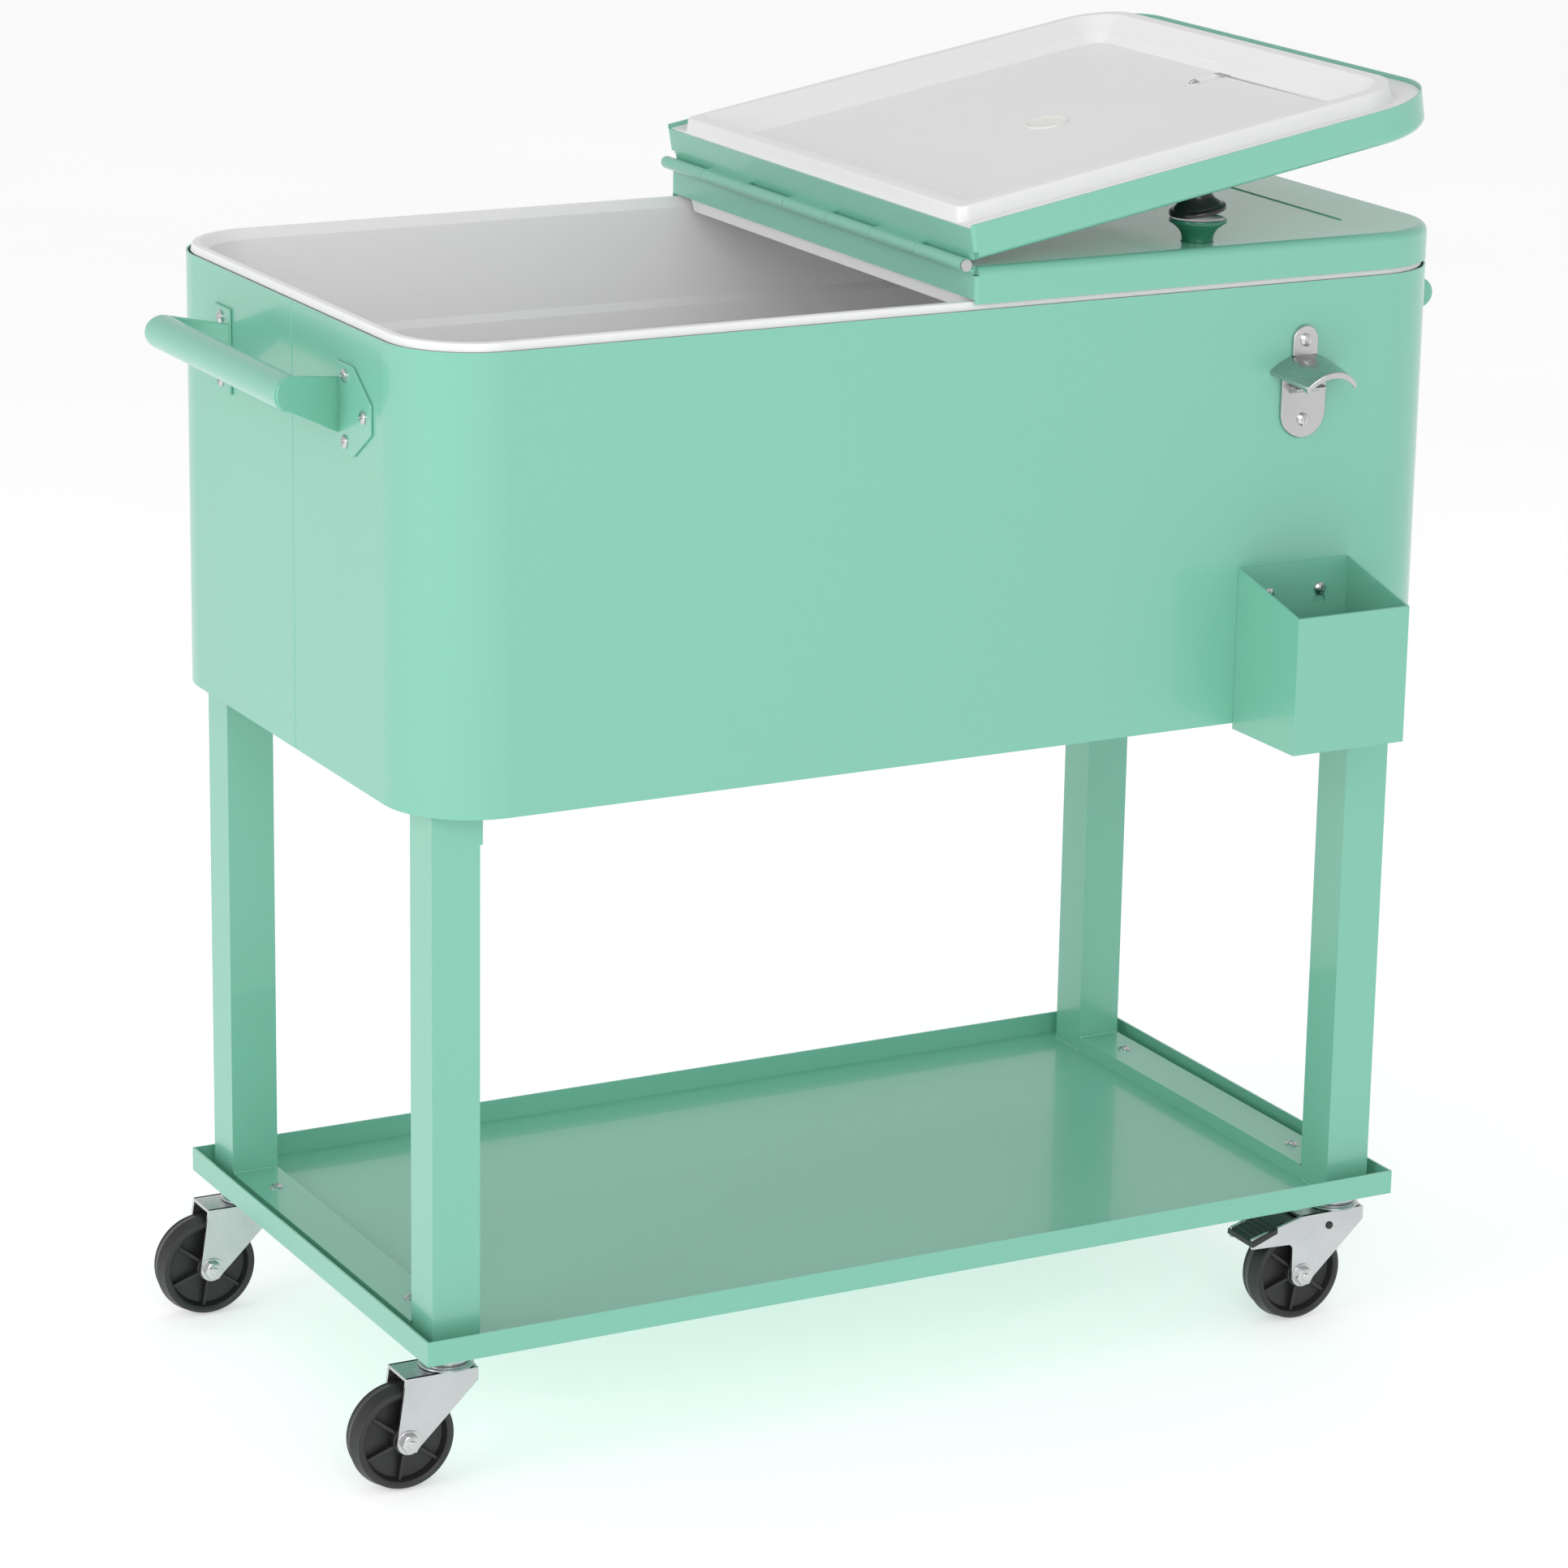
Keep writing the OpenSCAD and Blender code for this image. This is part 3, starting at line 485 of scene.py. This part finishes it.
def fork(name, at, braked):
    """Pressed fork: two tapered arms, bent top plate and stacked race rings."""
    s = Shape()
    top = RACE_Z + 0.5
    tip = arc(-TRAIL, AXLE_Z, 9, 184, 320, 12)
    if braked:
        arm = [(-79, top - 11), (-79, top - 19), (-46, top - 20.5), (-43.5, top - 23)]
        arm += tip + [(17.5, top - 10), (17.5, top)]
        arm += [(-36, top)]
    else:
        arm = [(-36, top)] + tip + [(17.5, top - 9), (17.5, top)]
    for y in (-1, 1):
        lo, hi = sorted((y * FORK_Y, y * (FORK_Y + FORK_T)))
        s.prism(arm, lo, hi)
    out = FORK_Y + FORK_T - 0.02
    s.rows([outline(-36, 18, out, 1.5, 6, z) for z in (RACE_Z - 2, top)], caps=(True, True))
    lower = fillet([(12, top, 0), (19.5, top, 1.2), (19.5, RACE_Z + 2.6, 1.6),
                    (16.5, RACE_Z + 4, 1), (12, RACE_Z + 4, 0)])
    s.revolve(lower, close=True)
    s.done(f"fork_{name}", "zinc_plate", f"swivel_{name}", f"caster_fork_{name}",
           at=at, bevel=0.5, angle=38)
    a = Shape()
    out += 0.02
    flip = turned("X", 90)
    shaft = [(4, -out - 3), (4, out + 3)]
    a.revolve(shaft, Matrix.Translation((-TRAIL, 0, AXLE_Z)) @ flip, 24, (True, True))
    for y in (-1, 1):
        seat = Matrix.Translation((-TRAIL, y * out, AXLE_Z)) @ turned("X", -90 * y)
        a.revolve([(4.2, 0), (8.6, 0), (8.9, 0.3), (8.6, 0.9), (4.2, 0.9)], seat, close=True)
        a.revolve([(7.2, 0.9), (7.2, 4.4), (6.3, 5)], seat, 6, (True, True))
        a.revolve([(3.2, 4.9), (3.2, 5.7), (2.6, 6.2)], seat, 20, (True, True))
    a.done(f"axle_{name}", "screw_steel", f"swivel_{name}", f"caster_axle_{name}",
           at=at, bevel=0.25, angle=38)


def wheel(name, at):
    """Moulded wheel: crowned tread, recessed web, six ribs a side and a hub."""
    s = Shape()
    half = [(10, 11.3), (9.2, 12), (4.1, 12)]
    side = fillet([(10, 4, 0), (29.5, 4, 2), (30.5, 10.4, 0.8), (32.5, 11.5, 0.8),
                   (35.4, 11.2, 1.5), (37.1, 8.4, 3), (37.5, 0, 0)], 4)
    profile = half[::-1] + side
    profile += [(r, -h) for r, h in profile[::-1][1:]]
    s.revolve(profile, n=72, close=True)
    for i in range(6):
        turn = turned("Z", 60 * i + 22)
        for h in (1, -1):
            rib = [(9, 3.5 * h), (30, 3.5 * h), (30, 8.6 * h), (9, 10.4 * h)]
            s.rows([[(x, y, z) for x, z in rib] for y in (-1.2, 1.2)], turn, caps=(True, True))
    s.done(f"wheel_part_{name}", "wheel_plastic", f"wheel_{name}", f"caster_wheel_{name}",
           at=at @ Matrix.Translation((-TRAIL, 0, AXLE_Z)) @ turned("X", 90), bevel=0.3, angle=32)


def race(name, at):
    """Fixed upper race and stem plate under the tray."""
    s = Shape()
    cup = fillet([(5, RACE_Z + 4.4, 0), (16.2, RACE_Z + 4.4, 0.8), (18.8, RACE_Z + 6.5, 1.6),
                  (17.6, 93.5, 1.6), (14, 94.6, 1), (5, 95, 0)])
    s.revolve(cup, close=True)
    s.rows([outline(-17.5, 17.5, 17.5, 3, 3, z) for z in (94.9, 98)], caps=(True, True))
    s.revolve([(5, 76), (5, 94)], n=24, caps=(True, True))
    s.done(f"race_{name}", "zinc_plate", "tub_and_stand", f"caster_plate_{name}",
           at=at, bevel=0.4, angle=38)


def pedal(name, at):
    """Black foot lever over the wheel with a ribbed tread."""
    s = Shape()
    lever = [(3, -1), (3, 2.5), (-6, 7), (-40, 7), (-67, -2.6), (-68, -5.4),
             (-38, 4.4), (-7, 4.6), (-3, 1)]
    s.prism(lever, -12, 12)
    tread = [(-46, 5.6), (-67.6, -2.4), (-68, -6.4), (-66.5, -6.4), (-46, 1.2)]
    s.prism(tread, -17, 17)
    for i in range(4):
        x, z = -50 - 4.4 * i, 4.3 - 1.6 * i
        bar = ((0, -0.8), (1.6, -0.3), (1.2, 0.9), (0.4, 0.7))
        s.prism([(x + dx, z + dz) for dx, dz in bar], -15, 15)
    s.revolve([(3.4, -12), (3.4, 12)], turned("X", 90), 20, (True, True))
    s.revolve([(1.54, -16.5), (1.54, 16.5)], turned("X", 90), 16, (True, True))
    for y in (-1, 1):
        end = Matrix.Translation((0, y * 15.6, 0)) @ turned("X", -90 * y)
        s.revolve([(3, 0), (3, 0.7), (1.8, 1.5)], end, 16, (True, True))
    s.done(f"pedal_{name}", "black_metal", f"brake_{name}", f"brake_pedal_{name}",
           at=at @ Matrix.Translation((-12, 0, 73)), bevel=0.5, angle=38)


# ---------------------------------------------------------------- welds


def weld(name, corner):
    """Stacked-coin weld bead along two feet edges of one leg."""
    sx, sy = corner
    s = Shape()
    x_in = sx * (LEG_X - LEG_W / 2)
    y_in = sy * (LEG_Y - LEG_W / 2)
    runs = (((x_in, y_in), (x_in, sy * (LEG_Y + LEG_W / 2))),
            ((x_in, y_in), (sx * (LEG_X + LEG_W / 2), y_in)))
    for (xa, ya), (xb, yb) in runs:
        a, b = Vector((xa, ya, 0)), Vector((xb, yb, 0))
        along = (b - a).normalized()
        out = Vector((-sx, 0, 0)) if abs(along.y) > 0.5 else Vector((0, -sy, 0))
        floor = TRAY_FLOOR if abs(along.y) > 0.5 else TRAY_FLOOR + RAIL_H
        count = 22
        rows = []
        for i in range(count + 1):
            for phase in (0, 0.5):
                t = (i + phase) / (count + 0.5)
                r = (1.9 if phase else 1.35) * (0.6 if i in (0, count) else 1)
                c = a.lerp(b, t)
                rows.append([
                    tuple(c + out * (r * math.cos(q)) + Vector((0, 0, floor + r * math.sin(q))))
                    for q in ring(8)])
        s.rows(rows, caps=(True, True))
    s.done(f"weld_{name}", "mint_paint", "tub_and_stand", angle=80)


# ---------------------------------------------------------------- pieces

tub_liner()
seam()
for side, place in (("right", RIGHT_LID), ("left", LEFT_LID)):
    lid_liner(side, place)
knob("left", LEFT_LID, "black_plastic")
knob("right", RIGHT_LID, "green_plastic")
handle("right", CENTRED)
handle("left", CENTRED @ MIRROR_X)
opener()
for name, (sx, sy) in CORNERS.items():
    place = Matrix.Translation((sx * LEG_X, sy * LEG_Y + Y_MID, 0))
    fork(name, place, sx > 0)
    wheel(name, place)
    race(name, place)
    weld(name, (sx, sy))
    if sx > 0:
        pedal(name, place)
for node in ("shell_front", "shell_back", "bottom_plate", "shelf_tray", "cap_catcher",
             "leg_brackets", "rail_left", "rail_right"):
    soften(node, 0.0006)
for node in ("leg_fl", "leg_fr", "leg_bl", "leg_br"):
    soften(node, 0.0018, segments=3)
for node in ("drain_cap", "drain_nut", "drain_tube", "frame_bolts"):
    soften(node, 0.0004)
for node in ("handle_left_screws", "handle_right_screws", "opener_screws", "catcher_screws",
             "shelf_screws", "lid_left_screw", "lid_right_screw", "hinge_pin"):
    soften(node, 0.00015)


# ---------------------------------------------------------------- stage

# Camera place in metres, then its azimuth, elevation and roll in radians
CAM_PLACE = (-1.75366, -3.219, 1.47731)
CAM_ANGLES = (-0.49097, 0.28262, 0.01708)
CAM_LENS, SENSOR = 122.6117, 36
SKY = 0.88


def studio():
    bpy.ops.mesh.primitive_plane_add(size=60, location=(0, 10, 0))
    floor = bpy.context.object
    floor.name = "floor"
    m = Mat("floor")
    m.color(m.ramp(m.noise(2, 2), [(0.3, (0.80, 0.80, 0.80)), (0.7, (0.82, 0.82, 0.82))]))
    socket(m.bsdf, Roughness=0.8, Emission_Color=(1, 1, 1, 1), Emission_Strength=0.46)
    floor.data.materials.append(m.m)

    # Sky: bright round the horizon, dimmer overhead
    world = bpy.data.worlds.new("studio")
    scene.world = world
    world.use_nodes = True
    t = world.node_tree
    coord = t.nodes.new("ShaderNodeTexCoord")
    split = t.nodes.new("ShaderNodeSeparateXYZ")
    ramp = t.nodes.new("ShaderNodeValToRGB")
    t.links.new(coord.outputs["Generated"], split.inputs["Vector"])
    t.links.new(split.outputs["Z"], ramp.inputs["Fac"])
    t.links.new(ramp.outputs["Color"], t.nodes["Background"].inputs["Color"])
    low, high = ramp.color_ramp.elements
    low.position, low.color = 0.05, (1, 1, 1, 1)
    high.position, high.color = 0.95, (0.50, 0.50, 0.50, 1)
    t.nodes["Background"].inputs["Strength"].default_value = SKY

    def area(name, place, target, power, size, size_y):
        data = bpy.data.lights.new(name, "AREA")
        data.shape, data.energy = "RECTANGLE", power
        data.size, data.size_y = size, size_y
        lamp = bpy.data.objects.new(name, data)
        scene.collection.objects.link(lamp)
        lamp.location = place
        lamp.rotation_euler = (Vector(target) - Vector(place)).to_track_quat("-Z", "Y").to_euler()

    area("key_left", (-3.4, -0.6, 1.8), (0, 0, 0.6), 30, 2.0, 2.4)
    area("strip", (0.3, 1.2, 2.6), (0.1, 0, 0.7), 4, 2.2, 0.12)
    area("front", (-1.1, -3.6, 2.1), (0, 0, 0.6), 40, 2.4, 1.8)


def camera():
    data = bpy.data.cameras.new("camera")
    cam = bpy.data.objects.new("camera", data)
    scene.collection.objects.link(cam)
    scene.camera = cam
    data.sensor_width, data.lens = SENSOR, CAM_LENS
    a, e, r = CAM_ANGLES
    back = Vector((math.sin(a) * math.cos(e), -math.cos(a) * math.cos(e), math.sin(e)))
    turn = (-back).to_track_quat("-Z", "Y").to_matrix().to_4x4()
    cam.matrix_world = Matrix.Translation(CAM_PLACE) @ turn @ Matrix.Rotation(r, 4, "Z")
    data.clip_start, data.clip_end = 0.05, 60


studio()
camera()
scene.view_settings.view_transform = "Standard"
